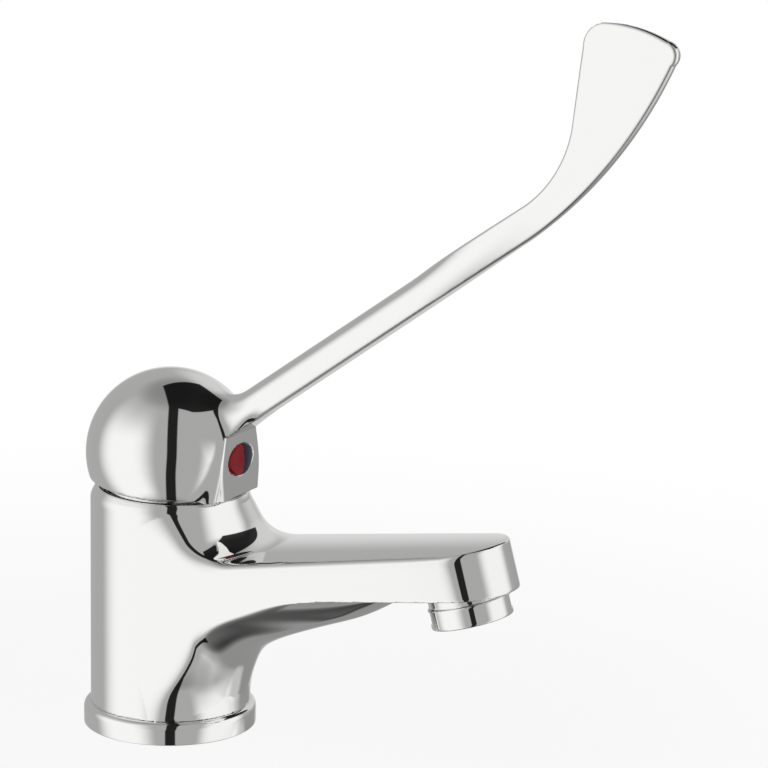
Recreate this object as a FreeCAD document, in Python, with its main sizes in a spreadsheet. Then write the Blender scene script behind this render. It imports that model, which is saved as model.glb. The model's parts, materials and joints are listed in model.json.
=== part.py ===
import FreeCAD, Part
import math
import os

import Sketcher

V = FreeCAD.Vector
doc = FreeCAD.newDocument("hospital_mixer_tap")

# Sizes in millimetres and degrees. Each one is written once, here.
# The tap faces +X, +Z is up and z = 0 is the top of the basin.
SIZES = {
    "body_r": 23.5,         # radius of the cast column
    "collar_z": 69.9,       # height of the column up to its bevel
    "crown_up": 2.55,       # top of the casting above that, on the axis
    "crown_tilt": 2.2,      # tilt of the top, rear side up
    "crown_in": 2.2,        # how far the bevel narrows the column
    "crown_run": 4.1,       # over this height
    "ring_out": 2,          # base ring beyond the column
    "ring_low": 0.4,        # underside of the base ring above the basin
    "ring_side": 5,         # top of the straight side of the ring
    "ring_top": 7,          # top of the ring, where the column starts
    "ring_fit": 0.05,       # radial clearance between ring and spigot
    "spigot_step": 2.5,     # from the column in to its spigot
    "spigot_wall": 2.5,     # wall of the spigot
    "seal_edge": 1.3,       # ring outside the base seal
    "seal_w": 2,            # width of the base seal
    "seal_top": 1.8,        # top of the seal groove
    "under_top": 14,        # roof of the hollow under the casting
    "outlet_x": 98.7,       # reach, to the lower rim of the aerator
    "outlet_up": 7.9,       # that rim above the start of the lower spout edge
    "outlet_tilt": 15.6,    # tilt of the aerator axis, lower end forward
    "arm_taper": 4.6,       # taper of each spout side in plan
    "arm_over": 19.3,       # spout blank beyond the outlet, before it is rounded
    "arm_drop": 12.5,       # spout top below the bevel, at the foot of the apron
    "arm_foot": 2.5,        # that foot in front of the column
    "arm_deep": 19.9,       # spout from its top to its lower edge at the column
    "arm_back": 3.5,        # start of the lower edge inside the column
    "arm_bend": 36,         # length of the arched part of the lower edge
    "arm_mid_up": 7.9,      # rise at the middle of the arch
    "arm_out_up": 12.1,     # rise at the end of the arch
    "arm_tip_up": 19.7,     # rise at the end of the blank
    "arm_slope": 8.6,       # slope of the spout top
    "arm_crown": 165,       # radius of the crowned spout top
    "apron_slope": 63,      # slope of the apron under the collar
    "apron_fillet": 5,      # fillet at the foot of the apron
    "tip_r": 16.2,          # radius of the spout end
    "keel_in": 0.05,        # how far the keel starts inside the column
    "aerator_r": 11.9,      # shell of the aerator
    "aerator_step": 0.45,   # from the shell in to its thread
    "shell_wall": 1.1,      # its wall
    "nozzle_low": 6.6,      # length of aerator below the nozzle face
    "nozzle_grip": 8.6,     # length of the thread bore
    "washer_w": 2.95,       # width of the aerator washer
    "washer_t": 2.6,        # its thickness
    "throat_up": 2.4,       # water space above the washer
    "insert_low": 1.2,      # insert above the lower rim of the shell
    "spout_bore": 4,        # radius of the water way in the spout
    "bore_up": 5.5,         # its height above the floor of the chamber
    "bore_slope": 9.9,      # slope of the water way
    "inlet_x": -5,          # inlet axes, x
    "inlet_y": 8,           # inlet axes, distance from the plane of symmetry
    "inlet_r": 4.6,         # inlet threads, M10 fine
    "inlet_deep": 14,       # length of the inlet threads
    "water_r": 3,           # water ways from the inlets to the discs
    "stud_x": 10,           # fixing stud axis
    "stud_r": 3.4,          # fixing stud thread, M8
    "stud_deep": 16,        # length of the stud thread
    "chamber_deep": 28.9,   # floor of the cartridge chamber below the bevel
    "chamber_fit": 0.2,     # radial clearance of the cartridge
    "housing_r": 17.5,      # outside of the cartridge
    "housing_wall": 2.9,    # its wall
    "roof_t": 1.6,          # roof of the cartridge
    "neck_step": 5.5,       # from the cartridge in to its neck
    "neck_wall": 1.2,       # wall of the neck
    "neck_over": 0.6,       # neck above the spindle guide
    "nut_step": 1.5,        # nut thread outside the chamber
    "nut_fit": 0.06,        # radial clearance in the nut thread
    "nut_h": 8,             # height of the nut
    "shoulder_h": 5.3,      # nut up to its shoulder
    "hex_in": 2.8,          # from the thread in to the corners of the hexagon
    "cover_over": 1,        # cover ring above the nut
    "base_h": 5,            # cartridge base below its flange
    "flange_t": 1.5,        # flange of the cartridge base
    "port_x": 8,            # mixed water port, x
    "port_r": 4,            # mixed water port, radius
    "disc_t": 3,            # thickness of the fixed disc
    "disc_fit": 0.2,        # radial clearance of the fixed disc
    "slide_room": 3,        # room for the moving disc to slide
    "slider_t": 2.5,        # thickness of the moving disc
    "carrier_h": 4.6,       # height of the disc carrier
    "guide_gap": 0.9,       # from the carrier to the spindle guide
    "guide_fit": 0.1,       # radial clearance of the guide in the housing
    "neck_fit": 0.08,       # radial clearance of the guide in the neck
    "guide_rise": 9.4,      # guide above the inside of the roof
    "pivot_up": 3.5,        # tilting axis above the underside of the guide
    "roof_up": 2.4,         # inside of the roof above the tilting axis
    "pin_r": 1.5,           # pivot pin
    "pin_fit": 0.05,        # radial clearance of the pin in the spindle
    "spindle_w": 3.8,       # half of the square spindle
    "spindle_low": 2.8,     # square part of the spindle below the pivot
    "spindle_over": 14.6,   # top of the spindle above the centre of the head
    "ball_drop": 5.8,       # centre of the spindle ball below the pivot
    "ball_r": 2.6,          # radius of that ball
    "ball_fit": 0.08,       # radial clearance of the ball
    "dome_out": 1.3,        # round handle head beyond the column
    "dome_up": 9.95,        # its centre above the top of the casting
    "dome_wall": 2.2,       # its wall
    "lip_in": 3.05,         # from the outside of the head in to its bore
    "cover_gap": 1.25,      # from that bore in to the cover ring
    "rim_up": 1.25,         # rim of the head above the top of the casting
    "rim_tilt": 4,          # tilt of the rim, rear side up
    "boss_r": 7.6,          # boss in the head for the spindle
    "boss_down": 2.8,       # underside of the boss below the centre of the head
    "snout_out": 0.2,       # flat front beyond the round of the head
    "snout_w": 10.8,        # half of its width
    "snout_up": 5.6,        # where it starts to narrow, above the centre
    "tongue_drop": 2.6,     # bottom of the tongue below the rim
    "tongue_gap": 0.35,     # clearance from the tongue to the column
    "shank_out": 4,         # bend under the lever in front of the flat front
    "shank_up": 12.7,       # the same bend above the centre of the head
    "shank_slope": 35.7,    # slope of the lever
    "shank_l": 85.7,        # length of the bar before it thins into the blade
    "shank_w": 5,           # half of the flat under the lever
    "shank_h": 9.1,         # height of the lever section
    "shank_b": 5.9,         # half of its greatest width
    "blade_t": 3.8,         # thickness of the blade
    "plug_up": 0.5,         # centre of the index plug above that of the head
    "plug_w": 7.3,          # half of its width
    "plug_h": 4.65,         # half of its height
    "plug_deep": 1.6,       # depth of its seat
    "plug_out": 1.6,        # how far it stands out
    "plug_round": 21,       # radius of its domed front
    "plug_fit": 0.05,       # clearance round the plug
    "screw_r": 3,           # clamping screw, M6
}

# Places and fitted sizes that follow from them.
FITTED = {
    "crown_z": "collar_z+crown_up",
    "crown_end": "collar_z+crown_run",
    "crown_r": "body_r-crown_in",
    "ring_r": "body_r+ring_out",
    "spigot_r": "body_r-spigot_step",
    "under_r": "spigot_r-spigot_wall",
    "seal_out": "ring_r-seal_edge",
    "seal_in": "seal_out-seal_w",
    "arm_top_z": "collar_z-arm_drop",
    "top_x": "body_r+arm_foot",
    "arm_low_z": "arm_top_z-arm_deep",
    "arm_low_x": "body_r-arm_back",
    "arm_out_x": "arm_low_x+arm_bend",
    "arm_end": "outlet_x+arm_over",
    "outlet_z": "arm_low_z+outlet_up",
    "nozzle_r": "aerator_r-aerator_step",
    "nozzle_deep": "nozzle_low+nozzle_grip",
    "throat_r": "nozzle_r-washer_w",
    "throat_deep": "nozzle_deep+throat_up",
    "insert_top": "nozzle_deep-washer_t",
    "inlet_end": "under_top+inlet_deep",
    "stud_end": "under_top+stud_deep",
    "chamber_r": "housing_r+chamber_fit",
    "chamber_z": "collar_z-chamber_deep",
    "bore_z": "chamber_z+bore_up",
    "flange_z": "chamber_z+base_h",
    "disc_z": "flange_z+flange_t",
    "housing_in": "housing_r-housing_wall",
    "disc_r": "housing_in-disc_fit",
    "slider_r": "disc_r-slide_room",
    "slider_z": "disc_z+disc_t",
    "carrier_z": "slider_z+slider_t",
    "carrier_top": "carrier_z+carrier_h",
    "guide_z": "carrier_top+guide_gap",
    "pivot_z": "guide_z+pivot_up",
    "ball_z": "pivot_z-ball_drop",
    "roof_z": "pivot_z+roof_up",
    "guide_r": "housing_in-guide_fit",
    "guide_top": "roof_z+guide_rise",
    "neck_r": "housing_r-neck_step",
    "neck_in": "neck_r-neck_wall",
    "neck_top": "guide_top+neck_over",
    "guide_neck": "neck_in-neck_fit",
    "nut_z": "roof_z+roof_t",
    "nut_top": "nut_z+nut_h",
    "nut_face": "nut_z+shoulder_h",
    "nut_r": "chamber_r+nut_step",
    "nut_hex": "nut_r-hex_in",
    "dome_r": "body_r+dome_out",
    "dome_z": "crown_z+dome_up",
    "lip_r": "dome_r-lip_in",
    "cover_r": "lip_r-cover_gap",
    "cover_top": "nut_top+cover_over",
    "rim_z": "crown_z+rim_up",
    "boss_z": "dome_z-boss_down",
    "spindle_top": "dome_z+spindle_over",
    "snout_x": "dome_r+snout_out",
    "snout_low": "rim_z-tongue_drop",
    "snout_top": "dome_z+snout_up",
    "shank_x": "snout_x+shank_out",
    "shank_z": "dome_z+shank_up",
    "plug_z": "dome_z+plug_up",
    "span": "2*outlet_x",
}

sheet = doc.addObject("Spreadsheet::Sheet", "Dims")
for row, (alias, value) in enumerate(list(SIZES.items()) + list(FITTED.items()), 1):
    sheet.set("A%d" % row, alias)
    sheet.set("B%d" % row, "=%s" % value)
    sheet.setAlias("B%d" % row, alias)
doc.recompute()


def terms(text):
    """Split 'a-b+0.5*c' into signed factors."""
    text = text.replace(" ", "").replace("-", "+-")
    return [t for t in text.split("+") if t]


def num(text):
    """Value of a sum of sizes, such as 'body_r-wall' or '0.5*wall'."""
    total = 0.0
    for term in terms(str(text)):
        sign = 1.0
        if term[0] == "-":
            sign, term = -1.0, term[1:]
        for factor in term.split("*"):
            sign *= float(factor) if factor[0].isdigit() else float(sheet.get(factor))
        total += sign
    return total


def expr(text):
    """The same sum as an expression bound to the sheet."""
    out = []
    for term in terms(str(text)):
        sign = "+"
        if term[0] == "-":
            sign, term = "-", term[1:]
        factors = [f if f[0].isdigit() else "Dims." + f for f in term.split("*")]
        out.append(sign + " " + " * ".join(factors))
    return " ".join(out).lstrip("+ ")


def sin(text):
    return math.sin(math.radians(num(text)))


def cos(text):
    return math.cos(math.radians(num(text)))


def tan(text):
    return math.tan(math.radians(num(text)))


def origin_plane(body, role):
    return [f for f in body.Origin.OriginFeatures if f.Role == role][0]


def pin_point(sketch, geo, pos, x, y):
    """Bind one sketch point to two sums of sizes."""
    for kind, axis, text in (("DistanceX", -2, x), ("DistanceY", -1, y)):
        value = num(text)
        if abs(value) < 1e-9:
            sketch.addConstraint(Sketcher.Constraint("PointOnObject", geo, pos, axis))
            continue
        index = sketch.addConstraint(Sketcher.Constraint(kind, -1, 1, geo, pos, value))
        if any(ch.isalpha() for ch in str(text)):
            sketch.setExpression("Constraints[%d]" % index, expr(text))


def sketch_on(body, name, role, height="0"):
    sketch = body.newObject("Sketcher::SketchObject", name)
    sketch.AttachmentSupport = [(origin_plane(body, role), "")]
    sketch.MapMode = "FlatFace"
    if num(height):
        sketch.AttachmentOffset = FreeCAD.Placement(V(0, 0, num(height)), FreeCAD.Rotation())
        sketch.setExpression("AttachmentOffset.Base.z", expr(height))
    return sketch


def outline(sketch, path):
    """Closed outline: (x, y) draws a line, (mx, my, x, y) an arc through its middle."""
    ends = [p[-2:] for p in path]
    tips = []
    for i, step in enumerate(path):
        a, b = ends[i - 1], ends[i]
        pa, pb = V(num(a[0]), num(a[1]), 0), V(num(b[0]), num(b[1]), 0)
        tips.append((1, 2))
        if len(step) == 2:
            sketch.addGeometry(Part.LineSegment(pa, pb), False)
            continue
        pm = V(num(step[0]), num(step[1]), 0)
        if (pm - pa).cross(pb - pm).z < 0:
            pa, pb = pb, pa
            tips[-1] = (2, 1)
        sketch.addGeometry(Part.Arc(pa, pm, pb), False)
    count = len(path)
    for i in range(count):
        j = (i + 1) % count
        sketch.addConstraint(Sketcher.Constraint("Coincident", i, tips[i][1], j, tips[j][0]))
        pin_point(sketch, i, tips[i][1], ends[i][0], ends[i][1])
    for i, step in enumerate(path):
        if len(step) == 4:
            index = sketch.addGeometry(Part.Point(V(num(step[0]), num(step[1]), 0)), True)
            pin_point(sketch, index, 1, step[0], step[1])
            sketch.addConstraint(Sketcher.Constraint("PointOnObject", index, 1, i))


def new_body(label):
    body = doc.addObject("PartDesign::Body", label)
    body.Label = label
    return body


def place(obj, x="0", y="0", z="0", rotation=None):
    obj.Placement = FreeCAD.Placement(V(num(x), num(y), num(z)), rotation or FreeCAD.Rotation())
    for key, text in (("x", x), ("y", y), ("z", z)):
        if any(ch.isalpha() for ch in str(text)):
            obj.setExpression("Placement.Base." + key, expr(text))
    return obj


def turned(label, path):
    """Body of revolution about Z from an outline in (radius, height)."""
    body = new_body(label)
    sketch = sketch_on(body, label + "_outline", "XZ_Plane")
    outline(sketch, path)
    spin = body.newObject("PartDesign::Revolution", label + "_turn")
    spin.Profile = sketch
    spin.ReferenceAxis = (sketch, ["V_Axis"])
    spin.Angle = 360
    body.Tip = spin
    return body


def padded(label, role, path, length, height="0", both=False):
    """Prism on an origin plane."""
    body = new_body(label)
    sketch = sketch_on(body, label + "_outline", role, height)
    outline(sketch, path)
    pad = body.newObject("PartDesign::Pad", label + "_pad")
    pad.Profile = sketch
    pad.Length = num(length)
    pad.setExpression("Length", expr(length))
    pad.Midplane = both
    body.Tip = pad
    return body


def rod(label, r, h, x="0", y="0", z="0", rotation=None):
    obj = doc.addObject("Part::Cylinder", label)
    for key, text in (("Radius", r), ("Height", h)):
        setattr(obj, key, num(text))
        if any(ch.isalpha() for ch in str(text)):
            obj.setExpression(key, expr(text))
    return place(obj, x, y, z, rotation)


def block(label, size, x="0", y="0", z="0", rotation=None):
    obj = doc.addObject("Part::Box", label)
    for key, text in zip(("Length", "Width", "Height"), size):
        setattr(obj, key, num(text))
        if any(ch.isalpha() for ch in str(text)):
            obj.setExpression(key, expr(text))
    return place(obj, x, y, z, rotation)


def ball(label, r, x="0", y="0", z="0"):
    obj = doc.addObject("Part::Sphere", label)
    obj.Radius = num(r)
    obj.setExpression("Radius", expr(r))
    return place(obj, x, y, z)


def fuse(label, *parts):
    obj = doc.addObject("Part::MultiFuse", label)
    obj.Shapes = list(parts)
    return obj


def common(label, *parts):
    obj = doc.addObject("Part::MultiCommon", label)
    obj.Shapes = list(parts)
    return obj


def cut(label, base, *tools):
    tool = tools[0] if len(tools) == 1 else fuse(label + "_tools", *tools)
    obj = doc.addObject("Part::Cut", label)
    obj.Base = base
    obj.Tool = tool
    return obj


def solid(label, shape):
    """Shape made in code where a sketch feature does not fit."""
    obj = doc.addObject("Part::Feature", label)
    obj.Shape = shape
    return obj


ALONG_X = FreeCAD.Rotation(V(0, 1, 0), 90)
ALONG_Y = FreeCAD.Rotation(V(1, 0, 0), -90)
TILT = FreeCAD.Rotation(V(0, 1, 0), -num("outlet_tilt"))
NODES = []

# Front of the keel: share of its height, step in from the column, share of the reach, nose radius.
KEEL = ((0, 0.5, -0.0033, 20.65), (0.13, 0, 0.0186, 20), (0.308, 0, 0.0546, 17), (0.431, 0, 0.1, 14.6),
        (0.557, 0, 0.21, 12.6), (0.655, 0, 0.336, 12.2), (0.728, 0, 0.445, 12),
        (0.798, 0, 0.592, 12), (0.877, 0, 0.765, 12), (1, 0, 0.988, 11.8))


def node(obj, label):
    obj.Label = label
    NODES.append(obj)
    return obj


def hull_face(z, big, far, small):
    """Horizontal section of the keel: two tangent lines and a round front."""
    lean = (big - small) / far
    up = math.sqrt(1 - lean * lean)
    a, b = V(big * lean, big * up, z), V(far + small * lean, small * up, z)
    c, d = V(b.x, -b.y, z), V(a.x, -a.y, z)
    nose = Part.Arc(b, V(far + small, 0, z), c)
    edges = [Part.makeLine(a, b), nose.toShape(), Part.makeLine(c, d), Part.makeLine(d, a)]
    return Part.Wire(edges)


def keel_row(rows, z):
    """Smooth section values at height z between the given rows."""
    last = len(rows) - 2
    j = min(max(sum(1 for r in rows if r[0] <= z) - 1, 0), last)
    span = rows[j + 1][0] - rows[j][0]
    t = (z - rows[j][0]) / span

    def slope(i, k):
        lo, hi = rows[max(i - 1, 0)], rows[min(i + 1, len(rows) - 1)]
        return (hi[k] - lo[k]) / (hi[0] - lo[0]) * span

    values = []
    for k in (1, 2, 3):
        p, q = rows[j][k], rows[j + 1][k]
        values.append((2 * t ** 3 - 3 * t * t + 1) * p + (t ** 3 - 2 * t * t + t) * slope(j, k)
                      + (3 * t * t - 2 * t ** 3) * q + (t ** 3 - t * t) * slope(j + 1, k))
    return [z] + values


def keel():
    """Rounded web between the column and the underside of the spout."""
    low, high, steps = num("ring_top+2"), num("arm_low_z+13"), 22
    reach = num("outlet_x-body_r")
    rows = []
    for height, inset, share, nose in KEEL:
        front = num("body_r") + share * reach
        rows.append((low + height * (high - low), num("body_r-keel_in") - inset, front - nose, nose))
    heights = [low + (high - low) * i / (steps - 1) for i in range(steps)]
    return solid("keel", Part.makeLoft([hull_face(*keel_row(rows, z)) for z in heights], True, True))


def spout_blank():
    """Tapered spout in plan, cut to its side profile and rounded at the end."""
    r, far = num("body_r"), num("arm_end")
    a, b = r * sin("arm_taper"), r * cos("arm_taper")
    half = (r - far * sin("arm_taper")) / cos("arm_taper")
    low = num("under_top")
    corners = [V(a, b, low), V(far, half, low), V(far, -half, low), V(a, -b, low)]
    sides = [Part.makeLine(corners[i], corners[i + 1]) for i in range(3)]
    back = Part.Arc(corners[3], V(-r, 0, low), corners[0])
    plan = Part.Wire(sides + [back.toShape()])
    prism = solid("spout_plan", Part.Face(plan).extrude(V(0, 0, num("span"))))
    side = padded("spout_side", "XZ_Plane", [
        ("0-body_r-6.5", "arm_low_z"), ("arm_low_x", "arm_low_z"),
        ("arm_low_x+0.5*arm_bend", "arm_low_z+arm_mid_up", "arm_out_x", "arm_low_z+arm_out_up"),
        ("arm_end+5", "arm_low_z+arm_tip_up"), ("arm_end+5", "collar_z+18"),
        ("0-body_r-6.5", "collar_z-9.9")], "span", both=True)
    end = spout_end()
    return common("spout_bar", prism, side, end)


def spout_end():
    """Tilted half round that bounds the spout in front."""
    r, back = num("tip_r"), num("arm_end+arm_foot")
    lean = math.radians(7.5)
    p = V(r * math.sin(lean), r * math.cos(lean), 0)
    q = V(-back, p.y + back * math.tan(lean), 0)
    wire = Part.Wire([Part.makeLine(q, p), Part.Arc(p, V(r, 0, 0), V(p.x, -p.y, 0)).toShape(),
                      Part.makeLine(V(p.x, -p.y, 0), V(q.x, -q.y, 0)),
                      Part.makeLine(V(q.x, -q.y, 0), q)])
    tool = solid("spout_end", Part.Face(wire).extrude(V(0, 0, num("span"))))
    tool.Placement = along_outlet(-num("body_r"), V(-1, 0, 0))
    return tool


def top_tool():
    """Everything above the spout top and outside the sloping apron."""
    slope = math.radians(num("arm_slope"))
    r, span, column = num("arm_crown"), num("span"), num("body_r")
    along = V(math.cos(slope), 0, math.sin(slope))
    up = V(-math.sin(slope), 0, math.cos(slope))
    start = V(num("top_x"), 0, num("arm_top_z")) - along * 0.4 * span
    crown = Part.makeCylinder(r, 1.2 * span, start - up * r, along)
    space = Part.makeBox(span, span, span, V(-1, -0.5 * span, num("arm_low_z"))).cut(crown)
    h = 2.5 * column
    low = num("collar_z") - 0.6
    cone = Part.makeCone(column + h / tan("apron_slope"), column, h, V(0, 0, low - h))
    core = Part.makeCylinder(column, span, V(0, 0, low))
    tool = space.cut(cone.fuse(core).removeSplitter())
    foot = []
    for edge in tool.Edges:
        mid = edge.valueAt((edge.FirstParameter + edge.LastParameter) / 2)
        near = 1.1 * column < math.hypot(mid.x, mid.y) < 1.45 * column
        if near and edge.Length > 0.85 * column and mid.z < low - 4 and mid.x > 0.6 * column:
            foot.append(edge)
    return solid("top_tool", tool.makeFillet(num("apron_fillet"), foot))


def casting_outside():
    column = turned("column", [
        ("0", "ring_top"), ("body_r", "ring_top"), ("body_r", "collar_z"), ("crown_r", "crown_end"),
        ("0", "crown_end")])
    above = block("above_crown", ("span", "span", "span"))
    tilt = FreeCAD.Rotation(V(0, 1, 0), num("crown_tilt"))
    half = num("0.5*span")
    above.Placement = FreeCAD.Placement(V(0, 0, num("crown_z")) + tilt.multVec(V(-half, -half, 0)), tilt)
    column = cut("column_top", column, above)
    spigot = rod("spigot", "spigot_r", "ring_top-ring_low+1", z="ring_low")
    arm = cut("spout_arm", spout_blank(), top_tool())
    return fuse("casting_outside", column, spigot, arm, keel())


def body_casting():
    tilt = FreeCAD.Rotation(V(0, 1, 0), 90 - num("bore_slope"))
    tools = [
        rod("under", "under_r", "under_top-ring_low+1", z="ring_low-1"),
        rod("chamber", "chamber_r", "span", z="chamber_z"),
        rod("nut_bore", "nut_r", "span", z="nut_z"),
        rod("water_way", "spout_bore", "outlet_x-16.7", "10", "0", "bore_z-1.3", tilt),
        rod("stud_bore", "stud_r", "stud_end-under_top+1", "stud_x", "0", "under_top-1"),
    ]
    for name, side in (("hot", "0-inlet_y"), ("cold", "inlet_y")):
        tools.append(rod("thread_" + name, "inlet_r", "inlet_end-under_top+1", "inlet_x", side,
                         "under_top-1"))
        tools.append(rod("way_" + name, "water_r", "chamber_z-inlet_end+10", "inlet_x", side, "inlet_end-5"))
    nozzle = rod("nozzle_bore", "nozzle_r", "nozzle_deep+5", "outlet_x", "0", "outlet_z", TILT)
    throat = rod("throat", "throat_r", "throat_deep", "outlet_x", "0", "outlet_z", TILT)
    flat = block("nozzle_face", ("50", "60", "30"))
    nozzle.Placement = along_outlet(-5)
    throat.Placement = along_outlet(0)
    flat.Placement = along_outlet(num("nozzle_low") - 30, V(-20, -30, 0))
    tools += [nozzle, throat, flat]
    return node(cut("casting", casting_outside(), *tools), "body_casting")


def along_outlet(height, shift=V(0, 0, 0)):
    """Placement on the tilted outlet axis, height above the lower rim."""
    base = V(num("outlet_x"), 0, num("outlet_z"))
    return FreeCAD.Placement(base + TILT.multVec(V(0, 0, height) + shift), TILT)


def base_ring():
    ring = turned("ring", [
        ("spigot_r+ring_fit", "ring_low"), ("seal_in-0.1", "ring_low"), ("seal_in-0.1", "seal_top"),
        ("seal_out+0.1", "seal_top"), ("seal_out+0.1", "ring_low"), ("ring_r-0.3", "ring_low"),
        ("ring_r", "ring_low+0.3"), ("ring_r", "ring_side"),
        ("ring_r-0.5", "ring_side+1.35", "body_r+0.3", "ring_top"),
        ("spigot_r+ring_fit", "ring_top")])
    return node(ring, "base_ring")


def base_seal():
    return node(turned("seal", [("seal_in", "0"), ("seal_out", "0"), ("seal_out", "seal_top"),
                                ("seal_in", "seal_top")]), "base_seal")


def on_outlet(obj, height="0"):
    obj.Placement = along_outlet(num(height))
    return obj


def aerator():
    """Shell, insert, screen and washer, drawn upright on the outlet axis."""
    grip = "nozzle_low"
    body = turned("shell_turned", [
        ("aerator_r-shell_wall-0.5", "0"), ("aerator_r-0.3", "0"), ("aerator_r", "0.3"),
        ("aerator_r", "nozzle_low-0.9"), ("aerator_r-0.5", "nozzle_low-0.1"),
        ("nozzle_r-0.06", grip), ("nozzle_r-0.06", "insert_top"),
        ("aerator_r-shell_wall-0.5", "insert_top")])
    seat = rod("shell_seat", "aerator_r-shell_wall", "30", z="insert_low")
    seat.Radius = num("nozzle_r-shell_wall")
    seat.setExpression("Radius", expr("nozzle_r-shell_wall"))
    flats = []
    for i in range(3):
        turn = FreeCAD.Rotation(V(0, 0, 1), 90 + 120 * i)
        out = turn.multVec(V(num("aerator_r") - 0.7, -3, num("insert_low") + 0.4))
        flat = block("key_flat_%d" % i, ("3", "6", "3.6"), rotation=turn)
        flat.Placement.Base = out
        flats.append(flat)
    node(on_outlet(cut("shell", body, seat, *flats)), "aerator_shell")

    inner = rod("insert_blank", "nozzle_r-shell_wall", "insert_top-insert_low", z="insert_low")
    holes = [rod("jet_mid", "1.3", "40", z="0")]
    for ring, count in ((4.6, 6), (7.9, 12)):
        for i in range(count):
            angle = 2 * math.pi * (i + 0.5) / count
            holes.append(rod("jet_%d_%d" % (count, i), "1.2", "40", "%.4f" % abs(ring * math.cos(angle)),
                             "0", "0"))
            holes[-1].Placement.Base = V(ring * math.cos(angle), ring * math.sin(angle), 0)
    cup = rod("insert_cup", "nozzle_r-shell_wall-1", "10", z="insert_low+2.5")
    node(on_outlet(cut("insert", inner, cup, *holes)), "aerator_insert")

    screen = rod("screen_blank", "nozzle_r-shell_wall-1.2", "0.8", z="insert_low+2.5")
    holes = []
    for ring, count in ((0, 1), (2.5, 6), (5, 12), (7.4, 18)):
        for i in range(count):
            angle = 2 * math.pi * i / count
            holes.append(rod("mesh_%d_%d" % (count, i), "0.75", "5", z="insert_low+1"))
            holes[-1].Placement.Base = V(ring * math.cos(angle), ring * math.sin(angle),
                                         num("insert_low+1"))
    node(on_outlet(cut("screen", screen, *holes)), "aerator_screen")

    washer = turned("washer", [
        ("throat_r", "insert_top"), ("nozzle_r-0.1", "insert_top"), ("nozzle_r-0.1", "nozzle_deep"),
        ("throat_r", "nozzle_deep")])
    node(on_outlet(washer), "aerator_washer")


def cartridge_nut():
    outer = turned("nut_turned", [
        ("neck_r+0.1", "nut_z"), ("nut_r-nut_fit", "nut_z"), ("nut_r-nut_fit", "nut_face"),
        ("nut_hex", "nut_face"), ("nut_hex", "nut_top-0.6"), ("nut_hex-0.6", "nut_top"),
        ("neck_r+0.1", "nut_top")])
    tools = []
    for i in range(6):
        turn = FreeCAD.Rotation(V(0, 0, 1), 60 * i)
        tool = block("nut_flat_%d" % i, ("10", "40", "10"), rotation=turn)
        tool.Placement.Base = turn.multVec(V(num("nut_hex") * 0.875, -20, num("nut_face")))
        tools.append(tool)
    node(cut("nut", outer, *tools), "cartridge_nut")
    cover = turned("cover", [
        ("nut_hex+0.3", "nut_face"), ("nut_r-0.2", "nut_face"), ("nut_r-0.2", "crown_end-0.4"),
        ("cover_r", "crown_end-0.2"), ("cover_r-0.9", "cover_top"), ("nut_hex+0.3", "cover_top")])
    node(cover, "cover_ring")


def cartridge_body():
    housing = turned("housing", [
        ("housing_in", "disc_z"), ("housing_r", "disc_z"), ("housing_r", "nut_z"), ("neck_r", "nut_z"),
        ("neck_r", "neck_top-0.5"), ("neck_r-0.5", "neck_top"), ("neck_in", "neck_top"),
        ("neck_in", "roof_z"), ("housing_in", "roof_z")])
    node(housing, "cartridge_housing")

    base = turned("cartridge_base_turned", [
        ("0", "chamber_z"), ("housing_r-2.3", "chamber_z"), ("housing_r-2.3", "flange_z"),
        ("housing_r", "flange_z"), ("housing_r", "disc_z"), ("0", "disc_z")])
    ways = [rod("base_way_%d" % i, "water_r", "30", "inlet_x", side, "chamber_z-10")
            for i, side in enumerate(("0-inlet_y", "inlet_y"))]
    seats = [rod("seal_seat_%d" % i, "water_r+2", "1.5", "inlet_x", side, "chamber_z")
             for i, side in enumerate(("0-inlet_y", "inlet_y"))]
    out = rod("base_outlet", "port_r", "10", "port_x", "0", "chamber_z+1.2")
    side = block("base_side_port", ("14", "8", "flange_z-chamber_z-1.2"), "6", "0-4", "chamber_z+1.2")
    node(cut("base_cut", base, out, side, *(ways + seats)), "cartridge_base")

    for name, side in (("hot", "0-inlet_y"), ("cold", "inlet_y")):
        seal = turned("seal_" + name, [
            ("water_r+0.2", "0"), ("water_r+1.9", "0"), ("water_r+1.9", "1.5"), ("water_r+0.2", "1.5")])
        node(place(seal, "inlet_x", side, "chamber_z"), "inlet_seal_" + name)


def discs():
    fixed = rod("fixed_blank", "disc_r", "disc_t", z="disc_z")
    ways = [rod("fixed_way_%d" % i, "water_r", "10", "inlet_x", side, "disc_z-1")
            for i, side in enumerate(("0-inlet_y", "inlet_y"))]
    ways.append(rod("fixed_outlet", "port_r", "10", "port_x", "0", "disc_z-1"))
    for i, turn in enumerate((90, 270)):
        slot = rod("fixed_key_%d" % i, "1.5", "10", "0", "0", "disc_z-1")
        slot.Placement.Base.y = num("disc_r") * math.sin(math.radians(turn))
        ways.append(slot)
    node(cut("fixed", fixed, *ways), "fixed_disc")

    moving = rod("moving_blank", "slider_r", "slider_t", z="slider_z")
    pocket = block("moving_pocket", ("14", "9", "1.4"), "0-4", "0-4.5", "slider_z-0.2")
    node(cut("moving", moving, pocket), "moving_disc")

    blank = rod("carrier_blank", "slider_r", "carrier_h", z="carrier_z")
    socket = rod("ball_socket", "ball_r+ball_fit", "20", z="ball_z-ball_r-0.15")
    node(cut("carrier", blank, socket), "disc_carrier")


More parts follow.
